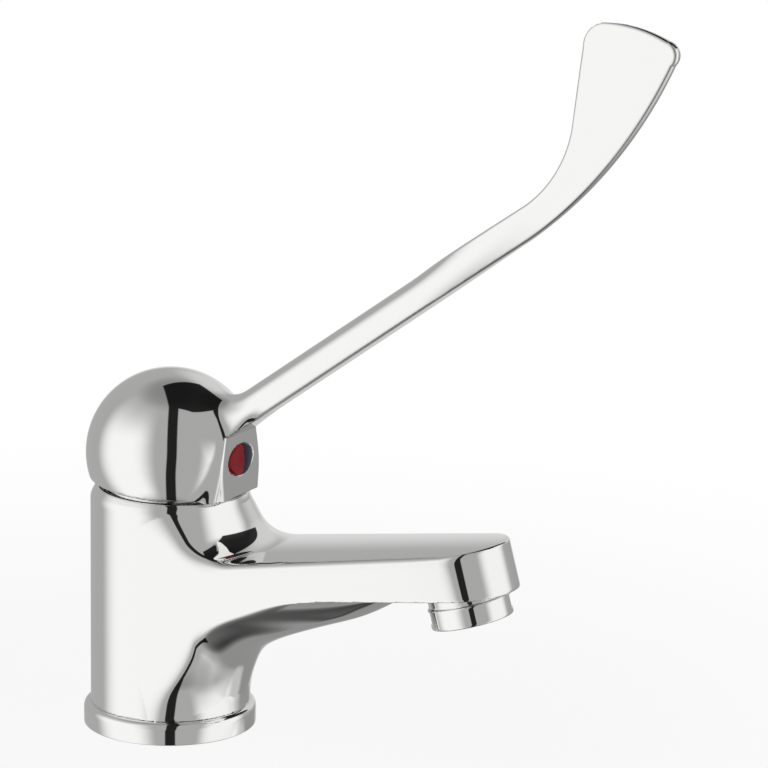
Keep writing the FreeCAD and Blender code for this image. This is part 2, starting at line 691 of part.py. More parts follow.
def guide():
    outer = turned("guide_turned", [
        ("0", "guide_z"), ("guide_r", "guide_z"), ("guide_r", "roof_z-0.1"),
        ("guide_neck", "roof_z-0.1"), ("guide_neck", "guide_top"), ("0", "guide_top")])
    slot = padded("guide_slot", "XZ_Plane", [
        ("spindle_w+0.7", "pivot_z+3"), ("spindle_w+0.4", "guide_top+1"), ("0-9.2", "guide_top+1"),
        ("0-spindle_w-1.6", "pivot_z"), ("0-spindle_w-0.7", "guide_z-1"), ("6.6", "guide_z-1"),
        ("spindle_w+1.6", "pivot_z")], "2*spindle_w+0.2", both=True)
    hole = rod("pin_hole", "pin_r", "60", "0", "0-30", "pivot_z", ALONG_Y)
    node(cut("guide", outer, slot, hole), "spindle_guide")
    pin = rod("pin", "pin_r", "2*guide_r-2.4", "0", "0-guide_r+1.2", "pivot_z", ALONG_Y)
    node(pin, "pivot_pin")


def spindle():
    bar = block("spindle_bar", ("2*spindle_w", "2*spindle_w", "spindle_top-pivot_z+spindle_low"),
                "0-spindle_w", "0-spindle_w", "pivot_z-spindle_low")
    end = ball("spindle_ball", "ball_r", "0", "0", "ball_z")
    neck = rod("spindle_neck", "1.9", "pivot_z-ball_z", z="ball_z")
    hole = rod("spindle_hole", "pin_r+pin_fit", "40", "0", "0-20", "pivot_z", ALONG_Y)
    node(cut("spindle_cut", fuse("spindle_blank", bar, end, neck), hole), "spindle")


def shank_frame():
    """X across the lever, Y up from its flat underside, Z along it."""
    along = V(cos("shank_slope"), 0, sin("shank_slope"))
    up = V(-along.z, 0, along.x)
    turn = FreeCAD.Rotation(V(0, 1, 0), up, along, "ZXY")
    return FreeCAD.Placement(V(num("shank_x"), 0, num("shank_z")), turn)


def half_round(wide, high):
    """Section of the lever: flat below, round above."""
    w, b, h = "shank_w*" + wide, "shank_b*" + wide, "shank_h*" + high
    return [(w, "0"), (b, h + "*0.39", "0", h), ("0-" + b, h + "*0.39", "0-" + w, "0")]


def shank():
    """Half-round bar with a flat underside that thins into the blade."""
    body = new_body("shank")
    rows = (("shank_l-11.7", "1", "1"), ("shank_l-3.7", "0.93", "1"), ("shank_l+4.3", "0.75", "0.99"),
            ("shank_l+12.3", "0.5", "0.98"), ("shank_l+20.3", "0.3", "0.96"))
    straight = sketch_on(body, "shank_section", "XY_Plane", "0-9")
    outline(straight, half_round("1", "1"))
    bar = body.newObject("PartDesign::Pad", "shank_bar")
    bar.Profile = straight
    bar.Length = num("9+" + rows[0][0])
    sections = []
    for i, (at, wide, high) in enumerate(rows):
        sketch = sketch_on(body, "shank_section_%d" % i, "XY_Plane", at)
        outline(sketch, half_round(wide, high))
        sections.append(sketch)
    loft = body.newObject("PartDesign::AdditiveLoft", "shank_loft")
    loft.Profile = sections[0]
    loft.Sections = sections[1:]
    loft.Ruled = True
    body.Tip = loft
    body.Placement = shank_frame()
    return body


def blade():
    """Upright paddle in the plane of symmetry, drawn along the lever."""
    body = padded("blade", "YZ_Plane", [
        ("0.6", "shank_l"), ("0.2", "shank_l+19.1"), ("5.2", "shank_l+51.6", "17.9", "shank_l+81.8"),
        ("20.5", "shank_l+84.9", "24.5", "shank_l+84.1"),
        ("32.2", "shank_l+78.5", "38.4", "shank_l+71.4"),
        ("39.5", "shank_l+66.5", "36.2", "shank_l+61.6"), ("19.3", "shank_l+46.7"),
        ("12", "shank_l+36.1", "9", "shank_l+23"), ("8.5", "shank_l+5.4")], "blade_t", both=True)
    body.Placement = shank_frame()
    return body


def snout():
    """Flat front of the head: a tongue below, bending into the lever above."""
    front = padded("snout_front", "YZ_Plane", [
        ("0-snout_w", "snout_low+6.3"),
        ("0-0.78*snout_w", "snout_low+1.9", "0-3", "snout_low"), ("3", "snout_low"),
        ("0.78*snout_w", "snout_low+1.9", "snout_w", "snout_low+6.3"), ("snout_w", "snout_top"),
        ("shank_w+2", "snout_top+4.6", "shank_w", "shank_z+2.5"), ("shank_w", "shank_z+22"),
        ("0-shank_w", "shank_z+22"), ("0-shank_w", "shank_z+2.5"),
        ("0-shank_w-2", "snout_top+4.6", "0-snout_w", "snout_top")], "40", "8")
    bend = tuple(num("shank_%s" % k) for k in "xz")
    run = num("snout_x")
    slope = math.radians(num("shank_slope"))
    turn = math.pi / 2 - slope
    drop = bend[1] + (run - bend[0]) * math.tan(slope) - num("snout_top")
    r = drop / (math.sin(turn) - (1 - math.cos(turn)) * math.tan(slope))
    mid = (run + r * (1 - math.cos(turn / 2)), num("snout_top") + r * math.sin(turn / 2))
    end = (run + r * (1 - math.cos(turn)), num("snout_top") + r * math.sin(turn))
    far = (end[0] + 8, end[1] + 8 * math.tan(slope))
    side = padded("snout_side", "XZ_Plane", [
        ("9", "snout_low-2"), ("snout_x", "snout_low-2"), ("snout_x", "snout_top"),
        tuple("%.4f" % v for v in mid + end), tuple("%.4f" % v for v in far),
        ("%.4f" % (far[0] - 2), "%.4f" % (far[1] + 2.7)), ("9", "snout_top-2")], "60", both=True)
    return common("snout", front, side)


def oval(label, grow, depth, x):
    """Upright oval prism on the front of the head."""
    half_w, half_h = num("plug_w") + grow, num("plug_h") + grow
    at = V(0, 0, 0)
    curve = Part.Ellipse(V(0, half_w, 0), V(-half_h, 0, 0), at)
    face = Part.Face(Part.Wire(curve.toShape()))
    prism = solid(label, face.extrude(V(0, 0, depth)))
    prism.Placement = FreeCAD.Placement(V(x, 0, num("plug_z")), ALONG_X)
    return prism


def lever_handle():
    head = ball("dome_ball", "dome_r", "0", "0", "dome_z")
    outer = fuse("handle_outside", head, snout(), shank(), blade())
    column = rod("rim_column", "body_r+tongue_gap", "60", z="rim_z-50")
    plane = block("rim_plane", ("span", "span", "span"))
    span = num("span")
    tilt = FreeCAD.Rotation(V(0, 1, 0), num("rim_tilt"))
    plane.Placement = FreeCAD.Placement(
        V(0, 0, num("rim_z")) + tilt.multVec(V(-0.5 * span, -0.5 * span, -span)), tilt)
    below = common("below_rim", column, plane)
    hollow = fuse("head_hollow", ball("dome_inside", "dome_r-dome_wall", "0", "0", "dome_z"),
                  rod("rim_bore", "lip_r", "dome_z-rim_z+20", z="rim_z-20"))
    boss = rod("boss", "boss_r", "dome_z+dome_r-dome_wall-boss_z", z="boss_z")
    seat = oval("plug_seat", num("plug_fit"), 6, num("snout_x-plug_deep"))
    screw_way = rod("screw_way", "screw_r+0.2", "20", "boss_r+1", "0", "plug_z", ALONG_X)
    screw_hole = rod("screw_hole", "screw_r", "20", "0", "0", "plug_z", ALONG_X)
    socket = block("spindle_socket", ("2*spindle_w", "2*spindle_w", "spindle_top-boss_z+10"),
                   "0-spindle_w", "0-spindle_w", "boss_z-10")
    shell = cut("handle_shell", outer, below, hollow)
    whole = fuse("handle_whole", shell, boss)
    return node(cut("handle", whole, seat, screw_way, screw_hole, socket), "lever_handle")


def grub_screw():
    blank = rod("grub_blank", "screw_r-0.04", "5", "spindle_w", "0", "plug_z", ALONG_X)
    key = rod("grub_key", "1.5", "3", "spindle_w+2.2", "0", "plug_z", ALONG_X)
    node(cut("grub", blank, key), "grub_screw")


def index_plug():
    """Oval plug in two colours, hot on the left of the user."""
    total = num("plug_deep+plug_out")
    back = num("snout_x-plug_deep")
    crown = ball("plug_crown", "plug_round", "snout_x+plug_out-plug_round", "0", "plug_z")
    for name, side in (("red", "0-20"), ("blue", "0")):
        prism = oval("plug_oval_" + name, 0.0, total, back)
        half = block("plug_half_" + name, ("20", "20", "20"), "snout_x-plug_deep-1", side, "plug_z-10")
        node(common("plug_" + name, prism, half, crown), "index_plug_" + name)


for make in (body_casting, base_ring, base_seal, aerator, cartridge_nut, cartridge_body, discs, guide,
             spindle, lever_handle, grub_screw, index_plug):
    make()
doc.recompute()

for obj in doc.Objects:
    if "Invalid" in obj.State or "Error" in obj.State:
        raise RuntimeError("recompute failed: %s" % obj.Label)
os.makedirs("parts", exist_ok=True)
for obj in NODES:
    shape = obj.Shape
    if shape.isNull() or not shape.isValid() or not shape.Solids:
        raise RuntimeError("bad shape: %s" % obj.Label)
    shape.exportStep("parts/%s.step" % obj.Label)
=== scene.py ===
import bpy
import json
import math
import numpy as np
from mathutils import Matrix, Vector


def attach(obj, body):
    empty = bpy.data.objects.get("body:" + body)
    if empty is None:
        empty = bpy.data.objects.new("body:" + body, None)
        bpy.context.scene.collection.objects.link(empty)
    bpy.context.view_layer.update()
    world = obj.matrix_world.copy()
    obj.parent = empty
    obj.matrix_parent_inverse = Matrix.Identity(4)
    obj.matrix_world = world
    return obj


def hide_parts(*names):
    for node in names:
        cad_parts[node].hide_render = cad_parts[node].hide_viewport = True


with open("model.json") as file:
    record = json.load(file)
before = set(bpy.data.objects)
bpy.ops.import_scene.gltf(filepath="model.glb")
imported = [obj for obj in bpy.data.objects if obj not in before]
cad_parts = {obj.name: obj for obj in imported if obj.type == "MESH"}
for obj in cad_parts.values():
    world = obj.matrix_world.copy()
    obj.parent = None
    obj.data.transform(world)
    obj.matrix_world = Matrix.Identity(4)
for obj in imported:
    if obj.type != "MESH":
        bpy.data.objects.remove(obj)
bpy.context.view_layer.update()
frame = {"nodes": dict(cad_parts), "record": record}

# Lengths are in millimetres here and become metres when a mesh is made.
MM = 0.001
FINE = 0.5

# Column: radius, foot, bevelled collar and tilted crown, each with the size of its edge.
BODY_R, FOOT_Z, FOOT_EDGE = 23.5, 7.0, 0.3
COLLAR_Z, COLLAR_BEVEL, COLLAR_EDGE = 69.9, math.atan2(2.2, 4.1), 0.6
CROWN_Z, CROWN_TILT, CROWN_EDGE = 72.45, math.radians(2.2), 0.5

# Spout: taper in plan, rising crowned roof, apron up to the collar, round tip about the tilted outlet.
ARM_TAPER, ARM_SLOPE = math.radians(4.6), math.radians(8.6)
ROOF_X, ROOF_Z, ROOF_R, ROOF_EDGE = BODY_R + 2.5, 57.4, 165, 2.6
APRON_SLOPE, APRON_Z, APRON_TOP, APRON_BLEND = math.radians(63), COLLAR_Z - 0.6, COLLAR_Z - 0.4, 7.0
OUTLET, TILT = np.array([98.7, 0.0, 45.4]), math.radians(15.6)
TIP_R, TIP_BACK, TIP_DRAFT, TIP_EDGE = 16.2, 1.0, math.radians(7.5), 0.8
SIDE_EDGE = 0.5

# Spigot under the foot, and the round holes of the casting: the hollow below, the two inlets, the stud,
# and the cartridge's chamber with its wider mouth. Each is x, y on both sides, radius, lowest and highest z.
DEEP = 99
SPIGOT = (0, 0, 20.98, 0.4, 8)
HOLES = [(0, 0, 18.5, -DEEP, 14), (-5, 8, 4.6, -DEEP, 28), (10, 0, 3.4, -DEEP, 30),
         (0, 0, 17.7, 41, DEEP), (0, 0, 19.2, 66, DEEP)]
# Bore for the aerator, and the flat face about its mouth.
NOZZLE_R, NOZZLE_TOP, HOLE_EDGE = 11.45, 15.2, 0.3
NOZZLE_FACE, NOZZLE_FACE_X, NOZZLE_FACE_Y = 6.6, 20, 30

# Web below the spout: height, distance and radius of its nose, distance and radius of its cheeks.
KEEL = np.array([(8, 0.4, 22.4, 0.3, 22.9), (12.6, 2.0, 22.0, 1.4, 22.0), (16.4, 4.1, 21.0, 3.0, 20.5),
                 (20.2, 6.2, 20.3, 5.8, 18.5), (24.0, 9.0, 19.3, 8.9, 16.0), (27.9, 14.0, 17.9, 12.2, 13.0),
                 (31.9, 23.0, 15.8, 15.2, 9.0), (36.0, 34.2, 14.3, 18.6, 6.0), (39.0, 43.5, 12.9, 23.2, 5.0),
                 (41.9, 52.0, 12.5, 29.4, 4.5), (45.4, 59.0, 12.0, 38.2, 4.0), (48.2, 63.5, 12.0, 47.5, 3.6),
                 (50.6, 66.5, 11.8, 63.0, 2.6)])
# Its rows run on as curves: their step, how far past the rows they go, how far and over how many steps
# they are softened.
KEEL_STEP, KEEL_MARGIN, KEEL_SOFT, KEEL_WINDOW = 0.1, 4, 1.3, 36
# The cheeks stand a little proud of the column's side, more so above, and are cut back to the spout's plan.
CHEEK_LOW, CHEEK_HIGH, CHEEK_Z, CHEEK_RISE, CHEEK_EDGE = 0.3, 1.2, 10, 15, 1.2
# How fast the nose runs out with height counts from here on, and is measured over this much height.
STEEP_X, STEEP_PROBE = 20, 0.5

# Head: outside, wall and lip, tilted rim over the collar, boss and square socket, way of the screw.
DOME_R, DOME_Z, DOME_WALL, LIP_R = 24.8, 82.4, 2.2, 21.75
RIM_R, RIM_Z, RIM_TILT, RIM_EDGE = BODY_R + 0.35, 73.7, math.radians(4), 0.5
BOSS_R, BOSS_Z, BOSS_COVER = 7.6, 79.6, 2
SOCKET_W, SOCKET_TOP, SCREW_R = 3.8, 97, 3.1
INNER_EDGE, SEAT_EDGE, SOCKET_EDGE, SCREW_EDGE = 0.3, 0.2, 0.1, 0.2

# Tongue: round front, flared sides, flat face with its lower end, and where it starts and stops.
TONGUE_R, TONGUE_W, TONGUE_Z, TONGUE_TOP, TONGUE_BACK, TONGUE_EDGE = 25.5, 10.8, 84, 94, 8, 2
FLARE_LOW, FLARE_HIGH, FLARE_SCALE = 0.33, 0.55, 0.9
FACE_X, FACE_Z, FACE_UNDER, FACE_EDGE = 23.4, 72.0, 0.2, 0.4

# Lever: start and slope of its axis, half-round bar, blade, and the stretch where one turns into the other.
SHANK, SLOPE = np.array([29.0, 0.0, 95.1]), math.radians(35.7)
BAR_R, BAR_N, BAR_EDGE, BAR_END = 5.92, 3.18, 0.5, -9
BLADE_R, BLADE_N, BLADE_EDGE, BLADE_HALF = 400, 4.38, 1.4, 2.0
TURN_S, TURN_LENGTH = 66, 50
TONGUE_BLEND, BAR_BLEND = 3, 9

# Index plug: half width and half height of its oval, domed front, depth, and its tighter seat.
PLUG_Z, PLUG_W, PLUG_H, PLUG_DEEP = 82.9, 7.3, 4.65, 1.3
PLUG_R, PLUG_PROUD, PLUG_EDGE, PLUG_BACK_EDGE = 21, 1.2, 0.7, 0.1
SEAT_LESS, SEAT_DEEP = 0.2, 1.4

# Aerator's shell: grip, neck inside the nozzle, ease between them, bore, and two slots for the key.
SHELL_R, NECK_R, NECK_Z, SHELL_TOP, SHELL_BORE = 11.9, 11.39, 6.6, 12.6, 10.35
EASE_DROP, EASE_Z, EASE_LENGTH = 0.5, 5.7, 0.8
SHELL_EDGE, SHELL_TOP_EDGE, SHELL_BORE_EDGE, KEY_EDGE = 0.6, 0.3, 0.4, 0.3
KEY_TURNS, KEY_R, KEY_HALF, KEY_Z, KEY_TALL = (30, 210), 11.2, 3, 3.4, 1.8

# Outlines of the turned rings: radius, height.
BASE_RING = [(21.05, 0.4), (22.1, 0.4), (22.1, 1.8), (24.3, 1.8), (24.3, 0.4), (25.5, 0.4),
             (25.5, 5.3), (25.2, 6.2), (24.6, 6.8), (23.8, 7.0), (21.05, 7.0)]
BASE_SEAL = [(22.2, 0), (24.2, 0), (24.2, 1.8), (22.2, 1.8)]
COVER = [(16.7, 71.3), (19.0, 71.3), (19.0, 73.6), (20.5, 73.8), (19.6, 75.0), (16.7, 75.0)]


# Signed distances, negative inside, on arrays of points. Distances within TIE count as equal.
TIE, TINY = 1e-7, 1e-9


def smin(a, b, k):
    """Smaller of two distances, blended over about k."""
    h = np.maximum(k - np.abs(a - b), 0) / k
    return np.minimum(a, b) - h * h * k / 4


def smax(a, b, k):
    """Larger of two distances, blended over about k."""
    return -smin(-a, -b, k)


def smooth(t):
    """Soft step from 0 to 1 as t goes from 0 to 1."""
    t = np.clip(t, 0, 1)
    return t * t * (3 - 2 * t)


def hull2(x, y, big, far, small):
    """Distance to the hull of a big circle at 0 and a small one at x = far."""
    b = np.clip((big - small) / far, -1, 1)
    a = np.sqrt(1 - b * b)
    y = np.abs(y)
    k = a * x - b * y
    side = a * y + b * x - big
    return np.where(k < 0, np.hypot(x, y) - big, np.where(k > a * far, np.hypot(x - far, y) - small, side))


def rod(x, y, z, cx, cy, r, low, high):
    """Distance to the upright rods at (cx, cy) and (cx, -cy)."""
    return np.maximum(np.hypot(x - cx, np.abs(y) - cy) - r, np.maximum(low - z, z - high))


def arc_through(a, m, b):
    """Centre and radius of the arc through three points."""
    (ax, ay), (mx, my), (bx, by) = a, m, b
    d = 2 * (ax * (my - by) + mx * (by - ay) + bx * (ay - my))
    sa, sm, sb = ax * ax + ay * ay, mx * mx + my * my, bx * bx + by * by
    c = np.array([(sa * (my - by) + sm * (by - ay) + sb * (ay - my)) / d,
                  (sa * (bx - mx) + sm * (ax - bx) + sb * (mx - ax)) / d])
    return c, math.hypot(ax - c[0], ay - c[1])


def outline(path):
    """Lines and arcs of a closed outline: (x, y) is a line's end, (mx, my, x, y) an arc's."""
    parts = []
    start = np.array(path[-1][-2:], float)
    for item in path:
        end = np.array(item[-2:], float)
        if len(item) == 2:
            parts.append((start, end, None, 0, 0))
        else:
            mid = np.array(item[:2], float)
            c, r = arc_through(start, mid, end)
            turn = np.sign((mid[0] - start[0]) * (end[1] - mid[1]) - (mid[1] - start[1]) * (end[0] - mid[0]))
            parts.append((start, end, c, r, turn))
        start = end
    return parts


def flat(u, v, parts):
    """Signed distance to an outline drawn counterclockwise."""
    best = np.full(u.shape, np.inf)
    sign = np.ones(u.shape)
    lead = np.full(u.shape, -1.0)
    for a, b, c, r, turn in parts:
        if c is None:
            ex, ey = b - a
            length = math.hypot(ex, ey)
            t = ((u - a[0]) * ex + (v - a[1]) * ey) / length ** 2
            cross = ((v - a[1]) * ex - (u - a[0]) * ey) / length
            on = (t > 0) & (t < 1)
            side, perp = -np.sign(cross), np.abs(cross)
        else:
            pu, pv = u - c[0], v - c[1]
            away = np.hypot(pu, pv)
            (au, av), (bu, bv) = a - c, b - c
            past_a, past_b = (au * pv - av * pu) * turn, (pu * bv - pv * bu) * turn
            long_arc = (a - c) @ ((a + b) / 2 - c) < 0
            on = ~((past_a < 0) & (past_b < 0)) if long_arc else (past_a > 0) & (past_b > 0)
            side, perp = np.sign(away - r) * turn, np.abs(away - r)
        da, db = np.hypot(u - a[0], v - a[1]), np.hypot(u - b[0], v - b[1])
        dist = np.where(on, perp, np.minimum(da, db))
        near = np.where(on, 1.0, perp / np.maximum(dist, TINY))
        take = (dist < best - TIE) | ((np.abs(dist - best) <= TIE) & (near > lead))
        best, sign, lead = np.where(take, dist, best), np.where(take, side, sign), np.where(take, near, lead)
    return best * np.where(sign == 0, 1, sign)


def outlet_axes(p):
    """Coordinates across, beside and up the tilted outlet axis."""
    d = p - OUTLET
    c, s = math.cos(TILT), math.sin(TILT)
    return d[:, 0] * c + d[:, 2] * s, d[:, 1], d[:, 2] * c - d[:, 0] * s


def keel_curve(col):
    """Smooth curve through the rows of the keel, softened so that reflections run on over it."""
    zs, vs = KEEL[:, 0], KEEL[:, col]
    slope = np.gradient(vs, zs)
    heights = np.arange(zs[0] - KEEL_MARGIN, zs[-1] + KEEL_MARGIN, KEEL_STEP)
    z = np.clip(heights, zs[0], zs[-1])
    j = np.clip(np.searchsorted(zs, z) - 1, 0, len(zs) - 2)
    h = zs[j + 1] - zs[j]
    t = (z - zs[j]) / h
    curve = ((2 * t ** 3 - 3 * t * t + 1) * vs[j] + (t ** 3 - 2 * t * t + t) * slope[j] * h
             + (3 * t * t - 2 * t ** 3) * vs[j + 1] + (t ** 3 - t * t) * slope[j + 1] * h)
    curve += np.minimum(heights - zs[0], 0) * slope[0] + np.maximum(heights - zs[-1], 0) * slope[-1]
    spread = np.arange(-KEEL_WINDOW, KEEL_WINDOW + 1) * KEEL_STEP
    weight = np.exp(-0.5 * (spread / KEEL_SOFT) ** 2)
    return heights, np.convolve(curve, weight / weight.sum(), "same")


KEEL_CURVES = [keel_curve(col) for col in range(1, 5)]


def keel_at(z, col=0):
    """Distance of the nose at each height, or another measure of the keel."""
    heights, curve = KEEL_CURVES[col]
    return np.interp(np.clip(z, KEEL[0, 0], KEEL[-1, 0]), heights, curve)


def keel(x, y, z, plan):
    """Hull of the column, two cheeks and a nose at each height."""
    y = np.abs(y)
    far, nose, cheek, bend = (keel_at(z, col) for col in range(4))
    side = BODY_R + CHEEK_LOW + (CHEEK_HIGH - CHEEK_LOW) * smooth((z - CHEEK_Z) / CHEEK_RISE)
    wide = side - math.tan(ARM_TAPER) * cheek - bend
    out = hull2(x, y, BODY_R, far, nose)
    legs = ((0, 0, cheek, wide, side, bend), (cheek, wide, far, 0, bend, nose))
    for ax, ay, bx, by, first, last in legs:
        ex, ey = bx - ax, by - ay
        length = np.maximum(np.hypot(ex, ey), TINY)
        u = ((x - ax) * ex + (y - ay) * ey) / length
        v = ((y - ay) * ex - (x - ax) * ey) / length
        out = np.minimum(out, hull2(u, v, first, length, last))
    out = smax(out, plan, CHEEK_EDGE)
    gain = keel_at(z + STEEP_PROBE) - keel_at(z - STEEP_PROBE)
    steep = gain / (2 * STEEP_PROBE) * smooth(x / STEEP_X)
    return np.maximum(out / np.sqrt(1 + steep * steep), np.maximum(FOOT_Z - z, z - KEEL[-1, 0]))


SPOUT_SIDE = outline([(-30, 44), (33, 44), (50, 49.4), (64, 50.2), (123, 57.2), (123, 130), (-30, 130)])


def spout(p, rho):
    """Arm of the spout, and its endless plan, to which the keel is cut back."""
    x, y, z = p.T
    c, s = math.cos(ARM_TAPER), math.sin(ARM_TAPER)
    plan = np.where(x * c < np.abs(y) * s, rho - BODY_R, c * np.abs(y) + s * x - BODY_R)
    rise = (z - ROOF_Z) * math.cos(ARM_SLOPE) - (x - ROOF_X) * math.sin(ARM_SLOPE)
    crown = np.hypot(rise + ROOF_R, y) - ROOF_R
    apron = (rho - BODY_R) * math.sin(APRON_SLOPE) + (z - APRON_Z) * math.cos(APRON_SLOPE)
    roof = smin(crown, np.maximum(apron, z - APRON_TOP), APRON_BLEND)
    ax, ay, _ = outlet_axes(p)
    ax = ax + TIP_BACK
    c, s = math.cos(TIP_DRAFT), math.sin(TIP_DRAFT)
    tip = np.where(ax > TIP_R * s, np.hypot(ax, ay), np.abs(ay) * c + ax * s) - TIP_R
    arm = smax(smax(plan, roof, ROOF_EDGE), tip, TIP_EDGE)
    return smax(arm, flat(x, z, SPOUT_SIDE), SIDE_EDGE), plan


def casting(p):
    """Column, spout and keel, with the hollows that the taps and the cartridge need."""
    x, y, z = p.T
    rho = np.hypot(x, y)
    cone = (rho - BODY_R) * math.cos(COLLAR_BEVEL) + (z - COLLAR_Z) * math.sin(COLLAR_BEVEL)
    top = (z - CROWN_Z) * math.cos(CROWN_TILT) + x * math.sin(CROWN_TILT)
    column = smax(smax(smax(rho - BODY_R, cone, COLLAR_EDGE), top, CROWN_EDGE), FOOT_Z - z, FOOT_EDGE)
    arm, plan = spout(p, rho)
    outer = np.minimum(np.minimum(column, arm), np.minimum(keel(x, y, z, plan), rod(x, y, z, *SPIGOT)))
    ax, ay, az = outlet_axes(p)
    nozzle = np.maximum(np.hypot(ax, ay) - NOZZLE_R, az - NOZZLE_TOP)
    face = np.maximum(np.maximum(az - NOZZLE_FACE, np.abs(ax) - NOZZLE_FACE_X), np.abs(ay) - NOZZLE_FACE_Y)
    holes = np.minimum(nozzle, face)
    for hole in HOLES:
        holes = np.minimum(holes, rod(x, y, z, *hole))
    return smax(outer, -holes, HOLE_EDGE)


# Outline of the blade along the lever.
BLADE = outline([(-20, -0.2), (104.8, 0.2), (137.3, 5.2, 167.5, 17.9), (170.6, 20.5, 169.8, 24.5),
                 (164.2, 32.2, 157.1, 38.4), (152.2, 39.5, 147.3, 36.2), (132.4, 19.3),
                 (121.8, 12, 108.7, 9.1), (66, 9.6), (-20, 10.6)])


def lever_bar(s, n, y):
    """Half-round bar that flattens into the upright blade, as two arcs back to back."""
    t = smooth((s - TURN_S) / TURN_LENGTH)

    def between(bar, blade):
        return (1 - t) * bar + t * blade

    bend = 1 / between(1 / BAR_R, 1 / BLADE_R)
    thick = between(BAR_R, BLADE_HALF)
    lens = np.hypot(np.abs(y) + bend - thick, n - between(BAR_N, BLADE_N)) - bend
    return smax(smax(lens, flat(s, n, BLADE), between(BAR_EDGE, BLADE_EDGE)), BAR_END - s, BAR_EDGE)


def plug_oval(y, z, less=0.0):
    """Nearly the distance to the oval of the plug, or to one that is smaller all round."""
    return (np.hypot(y / (PLUG_W - less), (z - PLUG_Z) / (PLUG_H - less)) - 1) * PLUG_H


def handle(p):
    """Round head with its tongue, lever and blade, hollow inside."""
    x, y, z = p.T
    d = p - SHANK
    s = d[:, 0] * math.cos(SLOPE) + d[:, 2] * math.sin(SLOPE)
    n = d[:, 2] * math.cos(SLOPE) - d[:, 0] * math.sin(SLOPE)
    rho = np.hypot(x, y)
    ball = np.sqrt(rho * rho + (z - DOME_Z) ** 2)
    edge = np.abs(y) - TONGUE_W - np.where(z < TONGUE_Z, FLARE_LOW, FLARE_HIGH) * (TONGUE_Z - z)
    tongue = smax(smax(rho - TONGUE_R, FLARE_SCALE * edge, TONGUE_EDGE),
                  np.maximum(z - TONGUE_TOP, TONGUE_BACK - x), TONGUE_EDGE)
    outer = smin(smin(ball - DOME_R, tongue, TONGUE_BLEND), lever_bar(s, n, y), BAR_BLEND)
    outer = smax(outer, np.maximum(np.minimum(x - FACE_X, -n - FACE_UNDER), FACE_Z - z), FACE_EDGE)
    rim = (z - RIM_Z) * math.cos(RIM_TILT) + x * math.sin(RIM_TILT)
    below = np.maximum(rho - RIM_R, rim)
    inside = np.minimum(ball - DOME_R + DOME_WALL, np.maximum(rho - LIP_R, z - DOME_Z))
    shell = smax(smax(outer, -below, RIM_EDGE), -inside, INNER_EDGE)
    boss = np.maximum(np.maximum(rho - BOSS_R, BOSS_Z - z), ball - DOME_R + BOSS_COVER)
    seat = np.maximum(plug_oval(y, z, SEAT_LESS), FACE_X - SEAT_DEEP - x)
    socket = np.maximum(np.maximum(np.abs(x), np.abs(y)) - SOCKET_W, z - SOCKET_TOP)
    screw = np.maximum(np.hypot(y, z - PLUG_Z) - SCREW_R, -x)
    shell = smax(np.minimum(shell, boss), -seat, SEAT_EDGE)
    return smax(smax(shell, -socket, SOCKET_EDGE), -screw, SCREW_EDGE)


def aerator_shell(p):
    """Plain shell with two key slots, on the outlet axis."""
    x, y, z = outlet_axes(p)
    rho = np.hypot(x, y)
    grip_r = SHELL_R - EASE_DROP * smooth((z - EASE_Z) / EASE_LENGTH)
    outside = smax(rho - np.where(z < NECK_Z, grip_r, NECK_R), -z, SHELL_EDGE)
    shell = smax(smax(outside, z - SHELL_TOP, SHELL_TOP_EDGE), SHELL_BORE - rho, SHELL_BORE_EDGE)
    for turn in KEY_TURNS:
        c, s = math.cos(math.radians(turn)), math.sin(math.radians(turn))
        u, w = x * c + y * s, y * c - x * s
        slot = np.maximum(np.maximum(KEY_R - u, np.abs(w) - KEY_HALF), np.abs(z - KEY_Z) - KEY_TALL)
        shell = smax(shell, -slot, KEY_EDGE)
    return shell


def plug_half(side):
    """Domed oval plug, cut along its middle."""
    def field(p):
        x, y, z = p.T
        dome = np.sqrt((x - FACE_X - PLUG_PROUD + PLUG_R) ** 2 + y * y + (z - PLUG_Z) ** 2) - PLUG_R
        whole = smax(smax(plug_oval(y, z), dome, PLUG_EDGE), FACE_X - PLUG_DEEP - x, PLUG_BACK_EDGE)
        return np.maximum(whole, -side * y)
    return field


# Meshes from distances.
BLOCK, SLACK, CHUNK = 4, 1.5, 200000
PULLS, PROBE, NORMAL_PROBE, LEAST_SLOPE = 3, 0.02, 0.06, 0.05


def in_chunks(field, points):
    """Values of a field, worked out for so many points at a time."""
    return np.concatenate([field(part) for part in np.array_split(points, len(points) // CHUNK + 1)])


def sample(field, axes, step):
    """Field on a grid, worked out only in the blocks that the surface may cross."""
    shape = [len(a) for a in axes]
    starts = [np.arange(0, n, BLOCK) for n in shape]
    middle = [a[0] + (s + 0.5 * BLOCK - 0.5) * step for a, s in zip(axes, starts)]
    rough = in_chunks(field, np.stack(np.meshgrid(*middle, indexing="ij"), -1).reshape(-1, 3))
    vals = rough.reshape([len(s) for s in starts])
    for axis in range(3):
        vals = np.repeat(vals, BLOCK, axis)
    vals = vals[:shape[0], :shape[1], :shape[2]].copy()
    reach = SLACK * 0.5 * BLOCK * step * math.sqrt(3)
    corners = np.stack(np.meshgrid(*starts, indexing="ij"), -1).reshape(-1, 3)[np.abs(rough) < reach]
    inner = np.stack(np.meshgrid(*[np.arange(BLOCK)] * 3, indexing="ij"), -1).reshape(-1, 3)
    at = (corners[:, None, :] + inner).reshape(-1, 3)
    at = at[(at < shape).all(1)]
    vals[tuple(at.T)] = in_chunks(field, np.stack([axes[k][at[:, k]] for k in range(3)], 1))
    return vals


